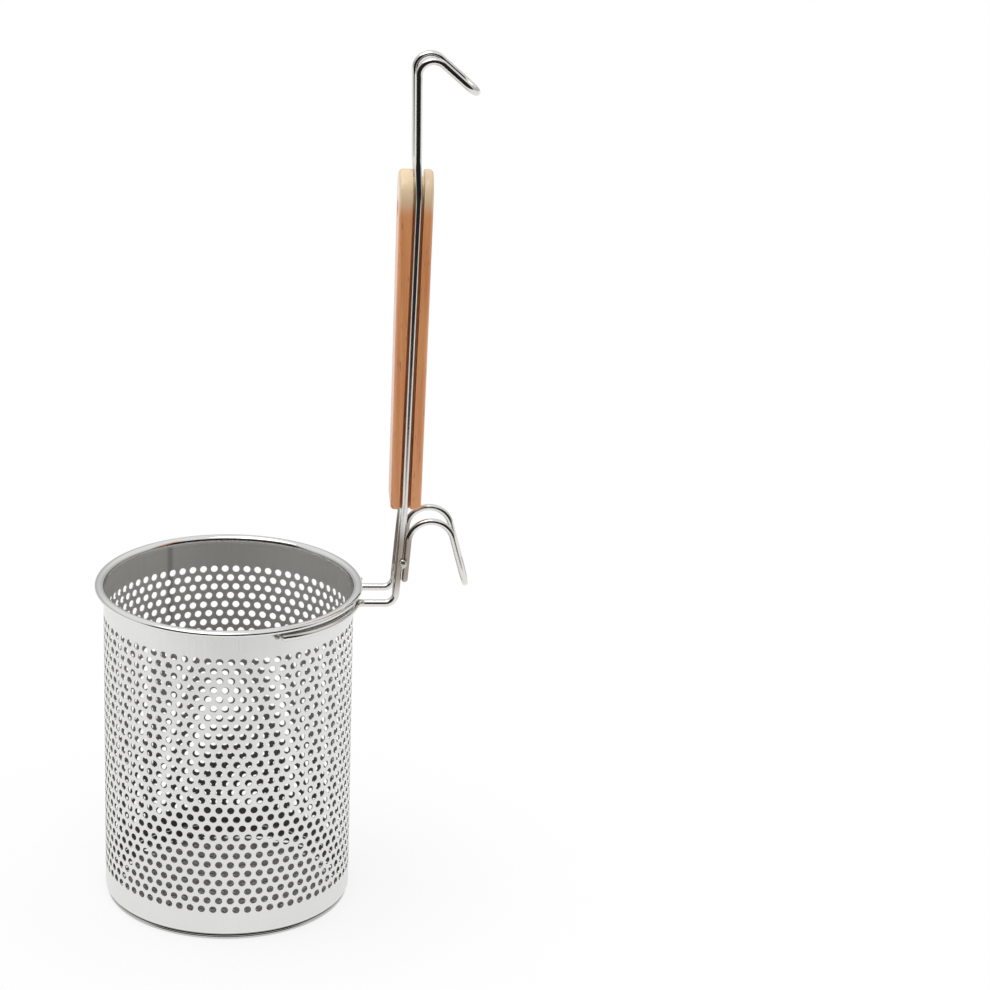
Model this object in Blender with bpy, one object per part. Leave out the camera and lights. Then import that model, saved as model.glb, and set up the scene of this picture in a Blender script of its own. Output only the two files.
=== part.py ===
"""Noodle strainer: a deep perforated steel basket hung on a bent wire handle.

One wire runs under the basket's rim, turns up through the grooves of a wooden grip and
ends in a hanging hook. A second wire, welded to the first, hooks over the edge of a pot.

Lengths are in metres, +Z is up and the handle is on the +X side of the basket. Every piece
is laid out round the basket's own axis and then parented to an empty that centres the
whole strainer over the origin, standing on z = 0.
"""
import math

import bmesh
import bpy
from mathutils import Vector

# Clearance kept between pieces that touch on the real strainer.
GAP = 0.0003

# Basket: a rolled sheet with its upper edge curled outward over a wire.
SHEET = 0.0006
BODY_RADIUS = 0.0670
BODY_BOTTOM = 0.0039
BEAD_RADIUS = 0.0027
BEAD_HEIGHT = 0.1784
BEAD_CENTRE_RADIUS = BODY_RADIUS - SHEET + BEAD_RADIUS
CURL_START = math.radians(180)
CURL_END = math.radians(-128)
CURL_STEPS = 14
CORE_WIRE_RADIUS = BEAD_RADIUS - SHEET - GAP
TURN_STEPS = 72

# Floor pan: a disc with a turned-down flange that is the basket's foot.
FLOOR_TOP = 0.0045
PAN_RADIUS = BODY_RADIUS - SHEET - GAP
PAN_CORNER = 0.0012
FOOT_LIP = 0.0020
FOOT_CORNER = 0.0009

# Handle wire. The two halves lie at plus and minus these distances from the middle plane.
WIRE_RADIUS = 0.0020
WIRE_HALF_SPREAD = 0.0115
HOOK_HALF_SPREAD = 0.0080
RIM_WIRE_RADIUS = BODY_RADIUS + GAP + WIRE_RADIUS
RIM_WIRE_HEIGHT = 0.1734
RIM_WIRE_DROP = 0.0015
RIM_WIRE_SWEEP = math.radians(66.5)
RIM_WIRE_STEPS = 22
ARM_CORNER_X = 0.0695
ARM_BEND = 0.0050
RISE_CORNER_X = 0.0887
RISE_BEND = 0.0055
GRIP_ENTRY = (0.0929, 0.2300)
GRIP_EXIT = (0.0962, 0.3990)
NECK_TOP = (0.0956, 0.4140)
CREST_CORNER = (0.0944, 0.4783)
CREST_BEND = 0.0077
TIP_START = (0.1190, 0.4568)
GENTLE_BEND = 0.0200
NECK_BEND = 0.0160

# Wooden grip, with a groove for the wire along both narrow sides and over the top.
GRIP_BOTTOM = 0.2270
GRIP_TOP = 0.4100
GRIP_HALF_WIDTH = 0.0135
GRIP_FACES_AT_BOTTOM = (0.0852, 0.1015)
GRIP_FACES_AT_TOP = (0.0861, 0.1041)
GRIP_FOOT_CORNER = 0.0030
GRIP_EDGE_ROUND = 0.0022
GROOVE_HALF_WIDTH = 0.0029
GROOVE_DEPTH = GRIP_HALF_WIDTH - WIRE_HALF_SPREAD + WIRE_RADIUS + GAP
GRIP_HOLE_RADIUS = 0.0045
GRIP_HOLE_HEIGHT = 0.3895

# Pot hook: its two legs stand against the outer side of the handle wire.
POT_WIRE_RADIUS = 0.00175
POT_HALF_SPREAD = 0.0110
POT_LEG_OFFSET = WIRE_RADIUS + POT_WIRE_RADIUS + GAP
POT_LEG_FOOT = 0.1855
POT_ARCH_CORNER = (0.1003, 0.2791)
POT_ARCH_BEND = 0.0120
POT_TIP_START = (0.1240, 0.1924)

# Welds, as the centre and the half sizes of each bead of metal.
RIM_WELD_HALF_SIZES = (0.0024, 0.0023, 0.0016)
RIM_WELD_PLACE = (0.0700, 0.0163, 0.1757)
TACK_HALF_SIZES = (0.0016, 0.0019, 0.0015)
TACK_ANGLE = RIM_WIRE_SWEEP + math.radians(1.6)
TACK_RADIUS = BODY_RADIUS + 0.0014
TACK_HEIGHT = 0.1736
HOOK_WELD_HALF_SIZES = (0.0021, 0.0018, 0.0027)
HOOK_WELD_HEIGHT = 0.1968

# How far a cutter reaches past the piece that it cuts.
CUTTER_REACH = 0.004

# The strainer's furthest point along -X, on the rim, measured from the basket's axis.
FURTHEST_BACK_X = -(BEAD_CENTRE_RADIUS + BEAD_RADIUS)
ARC_STEP = math.radians(15)
TUBE_SIDES = 10

# Colour, metallic value and roughness of each material.
SATIN_STEEL = ((0.62, 0.62, 0.61, 1.0), 1.0, 0.34)
POLISHED_STEEL = ((0.68, 0.67, 0.65, 1.0), 1.0, 0.16)
WELD_STEEL = ((0.50, 0.49, 0.47, 1.0), 1.0, 0.38)
OILED_WOOD = ((0.50, 0.23, 0.09, 1.0), 0.0, 0.52)


def material(name, look):
    """Gives a sub-part its own Principled BSDF material."""
    colour, metallic, roughness = look
    result = bpy.data.materials.new(name + "_material")
    result.use_nodes = True
    shader = result.node_tree.nodes["Principled BSDF"]
    shader.inputs["Base Color"].default_value = colour
    shader.inputs["Metallic"].default_value = metallic
    shader.inputs["Roughness"].default_value = roughness
    return result


def add_object(name, data, look, assembly):
    """Adds an object to the scene, under the empty that carries the whole strainer."""
    piece = bpy.data.objects.new(name, data)
    bpy.context.collection.objects.link(piece)
    piece.parent = assembly
    if look is not None:
        data.materials.append(material(name, look))
    return piece


def as_cutter(piece):
    """Marks an object as a tool that only cuts others."""
    piece.hide_render = True
    piece.display_type = "WIRE"
    return piece


def cut(piece, cutter):
    """Takes the cutter's shape out of the piece."""
    modifier = piece.modifiers.new("cut_" + cutter.name, "BOOLEAN")
    modifier.operation = "DIFFERENCE"
    modifier.solver = "EXACT"
    modifier.object = cutter


def mesh_from(name, vertices, faces):
    """Makes a smooth mesh whose closed surface faces outward."""
    mesh = bpy.data.meshes.new(name)
    mesh.from_pydata(vertices, [], faces)
    shaped = bmesh.new()
    shaped.from_mesh(mesh)
    bmesh.ops.recalc_face_normals(shaped, faces=shaped.faces)
    shaped.to_mesh(mesh)
    shaped.free()
    mesh.shade_smooth()
    mesh.set_sharp_from_angle(angle=math.radians(35))
    return mesh


def turned(name, profile, steps=TURN_STEPS):
    """Turns a closed profile of (radius, height) points about the basket's axis."""
    vertices = []
    for step in range(steps):
        angle = 2 * math.pi * step / steps
        for radius, height in profile:
            vertices.append((radius * math.cos(angle), radius * math.sin(angle), height))
    count = len(profile)
    faces = []
    for step in range(steps):
        here = step * count
        there = (step + 1) % steps * count
        for index in range(count):
            following = (index + 1) % count
            faces.append((here + index, here + following, there + following, there + index))
    return mesh_from(name, vertices, faces)


def arc(centre, radius, start, end, steps):
    """Points of an arc in a plane, from one angle to another, both included."""
    points = []
    for step in range(steps + 1):
        angle = start + (end - start) * step / steps
        points.append((centre[0] + radius * math.cos(angle), centre[1] + radius * math.sin(angle)))
    return points


def filleted(corners):
    """Points along a route whose corners, each (point, radius), are bent to that radius."""
    points = [Vector(corners[0][0])]
    for before, here, after in zip(corners, corners[1:], corners[2:]):
        corner = Vector(here[0])
        arriving = (corner - Vector(before[0])).normalized()
        leaving = (Vector(after[0]) - corner).normalized()
        turn = arriving.angle(leaving)
        if here[1] == 0 or turn < math.radians(0.5):
            points.append(corner)
            continue
        start = corner - arriving * here[1] * math.tan(turn / 2)
        inward = (leaving - arriving * leaving.dot(arriving)).normalized()
        centre = start + inward * here[1]
        steps = max(2, math.ceil(turn / ARC_STEP))
        for step in range(steps + 1):
            angle = turn * step / steps
            points.append(centre - inward * here[1] * math.cos(angle) + arriving * here[1] * math.sin(angle))
    points.append(Vector(corners[-1][0]))
    return points


def tube(name, points, radius):
    """A round bar along the points, with flat ends and rings that turn smoothly with it."""
    directions = []
    for index in range(len(points)):
        before = points[max(index - 1, 0)]
        after = points[min(index + 1, len(points) - 1)]
        directions.append((after - before).normalized())
    across = directions[0].orthogonal().normalized()
    vertices = []
    for index, (point, direction) in enumerate(zip(points, directions)):
        if index:
            across = directions[index - 1].rotation_difference(direction) @ across
        upward = direction.cross(across)
        for side in range(TUBE_SIDES):
            angle = 2 * math.pi * side / TUBE_SIDES
            vertices.append(point + (across * math.cos(angle) + upward * math.sin(angle)) * radius)
    faces = [list(range(TUBE_SIDES)), list(range(len(vertices) - TUBE_SIDES, len(vertices)))]
    for ring in range(len(points) - 1):
        for side in range(TUBE_SIDES):
            here = ring * TUBE_SIDES
            following = (side + 1) % TUBE_SIDES
            there = here + TUBE_SIDES
            faces.append((here + side, here + following, there + following, there + side))
    return mesh_from(name, vertices, faces)


def mirrored_loop(half, tip_radius, tip_direction):
    """Joins a half route to its mirror image in Y by a half-circle of the given radius."""
    end = half[-1]
    middle = Vector((end.x, 0.0, end.z))
    steps = 10
    turn = []
    for step in range(1, steps):
        angle = math.pi * step / steps
        turn.append(
            middle
            + Vector((0.0, -tip_radius * math.cos(angle), 0.0))
            + tip_direction * tip_radius * math.sin(angle)
        )
    other = [Vector((point.x, -point.y, point.z)) for point in reversed(half)]
    return half + turn + other


def wall_profile():
    """The sheet's section: plain wall, then the curl that wraps outward over the core wire."""
    centre = (BEAD_CENTRE_RADIUS, BEAD_HEIGHT)
    outer_curl = arc(centre, BEAD_RADIUS, CURL_START, CURL_END, CURL_STEPS)
    inner_curl = arc(centre, BEAD_RADIUS - SHEET, CURL_END, CURL_START, CURL_STEPS)
    foot = arc((BODY_RADIUS - SHEET / 2, BODY_BOTTOM + SHEET / 2), SHEET / 2, 0, -math.pi, 4)
    return outer_curl + inner_curl + foot


def floor_profile():
    """Section of the pan: disc, rounded shoulder, flange and the lip that it stands on."""
    top_corner = (PAN_RADIUS - PAN_CORNER, FLOOR_TOP - PAN_CORNER)
    low_corner = (PAN_RADIUS - FOOT_CORNER, FOOT_CORNER)
    outside = arc(top_corner, PAN_CORNER, math.pi / 2, 0, 4)
    outside += arc(low_corner, FOOT_CORNER, 0, -math.pi / 2, 4)
    lip_end = PAN_RADIUS - FOOT_CORNER - FOOT_LIP
    lip = [(lip_end, 0.0), (lip_end, SHEET)]
    inside = arc(low_corner, FOOT_CORNER - SHEET, -math.pi / 2, 0, 3)
    inside += arc(top_corner, PAN_CORNER - SHEET, 0, math.pi / 2, 3)
    return outside + lip + inside


def floor_pan_mesh():
    """Turns the pan's section and closes the disc in its middle, above and below."""
    profile = floor_profile()
    count = len(profile)
    vertices = []
    for step in range(TURN_STEPS):
        angle = 2 * math.pi * step / TURN_STEPS
        for radius, height in profile:
            vertices.append((radius * math.cos(angle), radius * math.sin(angle), height))
    faces = []
    for step in range(TURN_STEPS):
        here = step * count
        there = (step + 1) % TURN_STEPS * count
        for index in range(count - 1):
            faces.append((here + index, here + index + 1, there + index + 1, there + index))
    faces.append([step * count for step in range(TURN_STEPS)])
    faces.append([step * count + count - 1 for step in range(TURN_STEPS)])
    return mesh_from("floor_pan", vertices, faces)


def core_wire_mesh():
    """The wire that stiffens the rim, inside the curl."""
    section = arc((BEAD_CENTRE_RADIUS, BEAD_HEIGHT), CORE_WIRE_RADIUS, 0, math.pi * 1.8, 9)
    return turned("rim_core_wire", section)


def rim_wire_route():
    """The stretch of the handle wire under the rim, from its free end to the arm."""
    last = math.asin((WIRE_HALF_SPREAD + ARM_BEND) / RIM_WIRE_RADIUS)
    points = []
    for step in range(RIM_WIRE_STEPS + 1):
        share = step / RIM_WIRE_STEPS
        angle = RIM_WIRE_SWEEP + (last - RIM_WIRE_SWEEP) * share
        height = RIM_WIRE_HEIGHT - RIM_WIRE_DROP * (1 - share) ** 2
        points.append(Vector((RIM_WIRE_RADIUS * math.cos(angle), -RIM_WIRE_RADIUS * math.sin(angle), height)))
    return points


def handle_wire_route():
    """The whole handle wire: rim, arm, rise, grip, neck, hanging hook and back again."""
    rim = rim_wire_route()
    near = -WIRE_HALF_SPREAD
    top = -HOOK_HALF_SPREAD
    corners = [
        (rim[-1], 0),
        ((ARM_CORNER_X, near, RIM_WIRE_HEIGHT), ARM_BEND),
        ((RISE_CORNER_X, near, RIM_WIRE_HEIGHT), RISE_BEND),
        ((GRIP_ENTRY[0], near, GRIP_ENTRY[1]), GENTLE_BEND),
        ((GRIP_EXIT[0], near, GRIP_EXIT[1]), GENTLE_BEND),
        ((NECK_TOP[0], top, NECK_TOP[1]), NECK_BEND),
        ((CREST_CORNER[0], top, CREST_CORNER[1]), CREST_BEND),
        ((TIP_START[0], top, TIP_START[1]), 0),
    ]
    slope = Vector((TIP_START[0] - CREST_CORNER[0], 0.0, TIP_START[1] - CREST_CORNER[1])).normalized()
    return mirrored_loop(rim[:-1] + filleted(corners), HOOK_HALF_SPREAD, slope)


def rise_x(height):
    """Where the rising part of the handle wire is at a height below the grip."""
    share = (height - RIM_WIRE_HEIGHT) / (GRIP_ENTRY[1] - RIM_WIRE_HEIGHT)
    return RISE_CORNER_X + (GRIP_ENTRY[0] - RISE_CORNER_X) * share


def pot_hook_route():
    """The pot hook: leg, arch, sloping finger, half-circle and back again."""
    near = -POT_HALF_SPREAD
    corners = [
        ((rise_x(POT_LEG_FOOT) + POT_LEG_OFFSET, near, POT_LEG_FOOT), 0),
        ((POT_ARCH_CORNER[0], near, POT_ARCH_CORNER[1]), POT_ARCH_BEND),
        ((POT_TIP_START[0], near, POT_TIP_START[1]), 0),
    ]
    slope = Vector((POT_TIP_START[0] - POT_ARCH_CORNER[0], 0.0, POT_TIP_START[1] - POT_ARCH_CORNER[1]))
    return mirrored_loop(filleted(corners), POT_HALF_SPREAD, slope.normalized())


def between(low, high, height):
    """A value that changes evenly from the grip's bottom to its top."""
    share = (height - GRIP_BOTTOM) / (GRIP_TOP - GRIP_BOTTOM)
    return low + (high - low) * share


def grip_mesh():
    """The grip: a flat bar with a half-round top, a little thicker there than at its foot."""
    crown = GRIP_TOP - GRIP_HALF_WIDTH
    foot_y = GRIP_HALF_WIDTH - GRIP_FOOT_CORNER
    foot_z = GRIP_BOTTOM + GRIP_FOOT_CORNER
    outline = arc((0.0, crown), GRIP_HALF_WIDTH, 0, math.pi, 18)
    outline += arc((-foot_y, foot_z), GRIP_FOOT_CORNER, math.pi, math.pi * 1.5, 4)
    outline += arc((foot_y, foot_z), GRIP_FOOT_CORNER, math.pi * 1.5, math.pi * 2, 4)
    vertices = []
    for side in (0, 1):
        for y, z in outline:
            vertices.append((between(GRIP_FACES_AT_BOTTOM[side], GRIP_FACES_AT_TOP[side], z), y, z))
    count = len(outline)
    faces = [list(range(count)), list(range(count, 2 * count))]
    for index in range(count):
        following = (index + 1) % count
        faces.append((index, following, count + following, count + index))
    return mesh_from("wood_handle", vertices, faces)


def wire_x_in_grip(height):
    """Where the handle wire is at a height inside the grip."""
    share = (height - GRIP_ENTRY[1]) / (GRIP_EXIT[1] - GRIP_ENTRY[1])
    return GRIP_ENTRY[0] + (GRIP_EXIT[0] - GRIP_ENTRY[0]) * share


def groove_cutter_mesh():
    """An arch-shaped bar that leaves the groove in both narrow sides and over the top."""
    crown = GRIP_TOP - GRIP_HALF_WIDTH
    beyond = 0.004
    low = GRIP_BOTTOM - beyond
    inner = GRIP_HALF_WIDTH - GROOVE_DEPTH
    outer = GRIP_HALF_WIDTH + beyond
    outline = [(outer, low)] + arc((0.0, crown), outer, 0, math.pi, 18) + [(-outer, low)]
    outline += [(-inner, low)] + arc((0.0, crown), inner, math.pi, 0, 18) + [(inner, low)]
    vertices = []
    for side in (-1, 1):
        for y, z in outline:
            vertices.append((wire_x_in_grip(z) + side * GROOVE_HALF_WIDTH, y, z))
    count = len(outline)
    faces = [list(range(count)), list(range(count, 2 * count))]
    for index in range(count):
        following = (index + 1) % count
        faces.append((index, following, count + following, count + index))
    return mesh_from("groove_cutter", vertices, faces)


def round_bar_mesh(name, centre, radius, length, sides):
    """A bar along X."""
    shaped = bmesh.new()
    bmesh.ops.create_cone(
        shaped, cap_ends=True, segments=sides, radius1=radius, radius2=radius, depth=length
    )
    for vertex in shaped.verts:
        x, y, z = vertex.co
        vertex.co = (z + centre[0], y + centre[1], -x + centre[2])
    mesh = bpy.data.meshes.new(name)
    shaped.to_mesh(mesh)
    shaped.free()
    return mesh


def bead_of_weld(name, centre, half_sizes):
    """A smooth lump of weld metal, before the pieces that it joins are cut out of it."""
    shaped = bmesh.new()
    bmesh.ops.create_uvsphere(shaped, u_segments=12, v_segments=8, radius=1.0)
    for vertex in shaped.verts:
        vertex.co = [place + size * unit for place, size, unit in zip(centre, half_sizes, vertex.co)]
    mesh = bpy.data.meshes.new(name)
    shaped.to_mesh(mesh)
    shaped.free()
    mesh.shade_smooth()
    mesh.set_sharp_from_angle(angle=math.radians(35))
    return mesh


def build_basket(assembly):
    """Adds the wall, the wire in its rim and the floor."""
    add_object("basket_wall", turned("basket_wall", wall_profile()), SATIN_STEEL, assembly)
    add_object("rim_core_wire", core_wire_mesh(), SATIN_STEEL, assembly)
    add_object("floor_pan", floor_pan_mesh(), SATIN_STEEL, assembly)


def build_grip(assembly):
    """Adds the wooden grip with its groove and its cross hole."""
    grip = add_object("wood_handle", grip_mesh(), OILED_WOOD, assembly)
    rounding = grip.modifiers.new("edge_round", "BEVEL")
    rounding.width = GRIP_EDGE_ROUND
    rounding.segments = 3
    rounding.limit_method = "ANGLE"
    rounding.angle_limit = math.radians(50)
    groove = as_cutter(add_object("groove_cutter", groove_cutter_mesh(), None, assembly))
    middle = (GRIP_FACES_AT_TOP[0] + GRIP_FACES_AT_TOP[1]) / 2
    hole_mesh = round_bar_mesh("hole_cutter", (middle, 0.0, GRIP_HOLE_HEIGHT), GRIP_HOLE_RADIUS, 0.04, 24)
    hole = as_cutter(add_object("hole_cutter", hole_mesh, None, assembly))
    cut(grip, groove)
    cut(grip, hole)


def build_wires(assembly):
    """Adds the handle wire and the pot hook, and returns swollen copies that cut the welds."""
    handle_route = handle_wire_route()
    pot_route = pot_hook_route()
    add_object("handle_wire", tube("handle_wire", handle_route, WIRE_RADIUS), POLISHED_STEEL, assembly)
    add_object("pot_hook", tube("pot_hook", pot_route, POT_WIRE_RADIUS), POLISHED_STEEL, assembly)
    around_handle = tube("around_handle_wire", handle_route, WIRE_RADIUS + GAP)
    around_pot = tube("around_pot_hook", pot_route, POT_WIRE_RADIUS + GAP)
    return [
        as_cutter(add_object("around_handle_wire", around_handle, None, assembly)),
        as_cutter(add_object("around_pot_hook", around_pot, None, assembly)),
    ]


def build_welds(assembly, wire_cutter, hook_cutter):
    """Adds the welds, a pair of each kind, one on each side of the middle plane."""
    around_bead = turned(
        "around_bead", arc((BEAD_CENTRE_RADIUS, BEAD_HEIGHT), BEAD_RADIUS + GAP, 0, math.pi * 1.9, 19)
    )
    bead_cutter = as_cutter(add_object("around_bead", around_bead, None, assembly))
    outside = BODY_RADIUS + GAP
    inside = BODY_RADIUS - CUTTER_REACH
    low = TACK_HEIGHT - 3 * CUTTER_REACH
    high = TACK_HEIGHT + 3 * CUTTER_REACH
    around_wall = turned("around_wall", [(outside, low), (outside, high), (inside, high), (inside, low)])
    wall_cutter = as_cutter(add_object("around_wall", around_wall, None, assembly))
    kinds = {
        "rim_weld": (
            RIM_WELD_PLACE,
            RIM_WELD_HALF_SIZES,
            (wire_cutter, bead_cutter),
        ),
        "wire_end_tack": (
            (TACK_RADIUS * math.cos(TACK_ANGLE), TACK_RADIUS * math.sin(TACK_ANGLE), TACK_HEIGHT),
            TACK_HALF_SIZES,
            (wire_cutter, bead_cutter, wall_cutter),
        ),
        "pot_hook_weld": (
            (rise_x(HOOK_WELD_HEIGHT) + POT_LEG_OFFSET / 2, WIRE_HALF_SPREAD + WIRE_RADIUS, HOOK_WELD_HEIGHT),
            HOOK_WELD_HALF_SIZES,
            (wire_cutter, hook_cutter),
        ),
    }
    for kind, (place, half_sizes, cutters) in kinds.items():
        for side, sign in (("front", -1), ("rear", 1)):
            name = kind + "_" + side
            mesh = bead_of_weld(name, (place[0], sign * place[1], place[2]), half_sizes)
            weld = add_object(name, mesh, WELD_STEEL, assembly)
            for cutter in cutters:
                cut(weld, cutter)


def highest_x():
    """The strainer's furthest point along +X, on the tip of the pot hook."""
    return max(point.x for point in pot_hook_route()) + POT_WIRE_RADIUS


def main():
    for existing in list(bpy.data.objects):
        bpy.data.objects.remove(existing, do_unlink=True)
    assembly = bpy.data.objects.new("basket_axis", None)
    bpy.context.collection.objects.link(assembly)
    assembly.location.x = -(FURTHEST_BACK_X + highest_x()) / 2
    build_basket(assembly)
    build_grip(assembly)
    wire_cutter, hook_cutter = build_wires(assembly)
    build_welds(assembly, wire_cutter, hook_cutter)


main()
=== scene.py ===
"""Looks of the noodle strainer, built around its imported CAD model.

The basket's sheet gets its real perforations, the wires their fine bends and rounded
ends, the grip its grain, and every surface a procedural material. Lengths are in metres.
"""

import math

import bmesh
import bpy
from mathutils import Matrix, Vector
from mathutils.geometry import delaunay_2d_cdt


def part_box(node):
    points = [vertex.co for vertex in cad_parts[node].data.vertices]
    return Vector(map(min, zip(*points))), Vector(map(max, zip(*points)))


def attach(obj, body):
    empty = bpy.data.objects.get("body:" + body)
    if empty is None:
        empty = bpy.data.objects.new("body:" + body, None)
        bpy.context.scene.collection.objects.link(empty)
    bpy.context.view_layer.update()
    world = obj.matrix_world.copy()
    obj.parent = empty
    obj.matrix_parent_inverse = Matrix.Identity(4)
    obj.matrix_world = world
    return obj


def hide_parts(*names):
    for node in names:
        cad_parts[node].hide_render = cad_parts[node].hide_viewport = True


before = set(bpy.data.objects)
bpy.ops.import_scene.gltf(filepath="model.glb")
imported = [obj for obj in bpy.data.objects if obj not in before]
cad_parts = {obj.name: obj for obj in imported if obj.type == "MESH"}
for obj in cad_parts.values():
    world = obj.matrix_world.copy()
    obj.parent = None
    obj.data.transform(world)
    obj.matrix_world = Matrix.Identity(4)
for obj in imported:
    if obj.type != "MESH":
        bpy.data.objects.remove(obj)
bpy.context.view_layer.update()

# The basket's axis stands in the middle of the wire inside its rim.
CORE_LOW, CORE_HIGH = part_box("rim_core_wire")
AXIS_X = (CORE_LOW.x + CORE_HIGH.x) / 2
BEAD_HEIGHT = (CORE_LOW.z + CORE_HIGH.z) / 2
FLOOR_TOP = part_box("floor_pan")[1].z
WALL_LOW, WALL_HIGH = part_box("basket_wall")
GRIP_LOW, GRIP_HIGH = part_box("wood_handle")

# Sheet and perforation. Each row is half a hole's spacing round from the next, and the rows
# run a little askew and unevenly, as on the real rolled sheet.
SHEET = 0.0006
BEAD_RADIUS = WALL_HIGH.z - BEAD_HEIGHT
BODY_RADIUS = WALL_HIGH.y - 2 * BEAD_RADIUS + SHEET
BODY_BOTTOM = WALL_LOW.z
HOLE_RADIUS = 0.00197
HOLES_PER_ROW = 70
HOLE_ROWS = 28
ROW_STEP = 0.0053265
TOP_ROW = 0.1621
HOLE_PHASE = math.radians(86.52)
TWICE_ROUND_SHIFT = -0.01255
ONCE_ROUND_SHIFT = (0.0076, 0.00384)
ROW_LEAN = 0.000265
ROW_TILT = 0.000525
ROW_TWIST = 0.000285
ROW_STEP_CHANGE = 0.0000105
HOLE_SIDES = 20
LINE_POINTS = 2 * HOLES_PER_ROW
BEAD_CENTRE_RADIUS = BODY_RADIUS - SHEET + BEAD_RADIUS
BEAD_OUTER_HALF_HEIGHT = 0.0018
BEAD_OUTER_HEIGHT = BEAD_HEIGHT + BEAD_RADIUS - BEAD_OUTER_HALF_HEIGHT
CURL_END = math.radians(-128)
CORE_RADIUS = 0.00115
CORE_SIDES = 20
LOWER_EDGE_ROUND = 0.0006

# Floor pan, with a groove between the wall's lower edge and the rounded foot ring.
PAN_RADIUS = BODY_RADIUS - SHEET - 0.0003
PAN_CORNER = 0.0012
FOOT_CORNER = 0.0013
FOOT_LIP = 0.0020
FOOT_ARC_START = math.radians(72)
FOOT_ARC_TURN = math.radians(162)
FLOOR_PITCH = 0.0060
FLOOR_HOLE_SIDES = 18
GROOVE_RADIUS = PAN_RADIUS - 0.0010
GROOVE_TOP = 0.0031
FLOOR_HOLES_WITHIN = 0.0605

# The sheet's butt weld, on the far left of the basket.
SEAM_ANGLE = math.radians(119.4)

# Handle wire and pot hook, measured from the basket's axis as in the CAD model.
WIRE_RADIUS = 0.0020
WIRE_HALF_SPREAD = 0.0115
HOOK_HALF_SPREAD = 0.0080
RIM_WIRE_RADIUS = BODY_RADIUS + 0.0003 + WIRE_RADIUS
RIM_WIRE_HEIGHT = 0.1734
RIM_WIRE_LIFT = 0.0015
RIM_WIRE_SWEEP = math.radians(66.5)
RIM_WIRE_STEPS = 60
ARM_CORNER_X = 0.0695
ARM_BEND = 0.0050
RISE_CORNER_X = 0.0887
RISE_BEND = 0.0055
GRIP_ENTRY = (0.0929, 0.2300)
GRIP_EXIT = (0.0962, 0.3990)
NECK_TOP = (0.0956, 0.4140)
CREST_CORNER = (0.0944, 0.4783)
CREST_BEND = 0.0077
TIP_START = (0.1190, 0.4568)
GENTLE_BEND = 0.0200
# Height of the middle of the wires' darker, browner band.
DARK_BAND_HEIGHT = 0.199
NECK_BEND = 0.0160
POT_WIRE_RADIUS = 0.00175
POT_HALF_SPREAD = 0.0110
POT_LEG_OFFSET = WIRE_RADIUS + POT_WIRE_RADIUS + 0.0003
POT_LEG_FOOT = 0.1855
POT_ARCH_CORNER = (0.1003, 0.2791)
POT_ARCH_BEND = 0.0120
POT_TIP_START = (0.1240, 0.1924)
TACK_LIFT = 0.0014
LONGEST_STEP = 0.002
TUBE_SIDES = 28
END_ROUND = 0.0016
FINE_ARC_STEP = math.radians(4)

# Wooden grip.
GRIP_HALF_WIDTH = GRIP_HIGH.y
GRIP_FACES_AT_BOTTOM = (0.0852, 0.1015)
GRIP_FACES_AT_TOP = (0.0861, 0.1041)
GRIP_FOOT_CORNER = 0.0030
GRIP_EDGE_ROUND = 0.0022
GROOVE_HALF_WIDTH = 0.0029
GROOVE_DEPTH = GRIP_HALF_WIDTH - WIRE_HALF_SPREAD + WIRE_RADIUS + 0.0003
GRIP_HOLE_RADIUS = 0.0045
GRIP_HOLE_HEIGHT = 0.3895

# Camera: its place from the basket's axis, and how far it is turned.
CAMERA_PLACE = (0.0030, -1.6550, 0.8480)
CAMERA_PITCH = math.radians(20.37)
CAMERA_YAW = math.radians(4.79)
CAMERA_ROLL = math.radians(2.01)
CAMERA_LENS = 120.4


# ---------------------------------------------------------------- shapes


def arc(centre, radius, start, end, steps):
    """Points of an arc in a plane, from one angle to another, both included."""
    points = []
    for step in range(steps + 1):
        angle = start + (end - start) * step / steps
        points.append((centre[0] + radius * math.cos(angle), centre[1] + radius * math.sin(angle)))
    return points


def filleted(corners):
    """Points along a route whose corners, each (point, radius), are bent to that radius."""
    points = [Vector(corners[0][0])]
    for before, here, after in zip(corners, corners[1:], corners[2:]):
        corner = Vector(here[0])
        arriving = (corner - Vector(before[0])).normalized()
        leaving = (Vector(after[0]) - corner).normalized()
        turn = arriving.angle(leaving)
        start = corner - arriving * here[1] * math.tan(turn / 2)
        inward = (leaving - arriving * leaving.dot(arriving)).normalized()
        centre = start + inward * here[1]
        steps = max(2, math.ceil(turn / FINE_ARC_STEP))
        for step in range(steps + 1):
            angle = turn * step / steps
            offset = arriving * here[1] * math.sin(angle) - inward * here[1] * math.cos(angle)
            points.append(centre + offset)
    points.append(Vector(corners[-1][0]))
    return points


def on_circle(centre, radius, angle):
    """A point of a circle in a section."""
    return (centre[0] + radius * math.cos(angle), centre[1] + radius * math.sin(angle))


def new_piece(name, mesh, node, material):
    """Adds a visual piece that stands for one CAD node."""
    mesh.materials.append(material)
    piece = bpy.data.objects.new(name, mesh)
    bpy.context.scene.collection.objects.link(piece)
    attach(piece, "root")
    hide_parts(node)
    return piece


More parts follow.
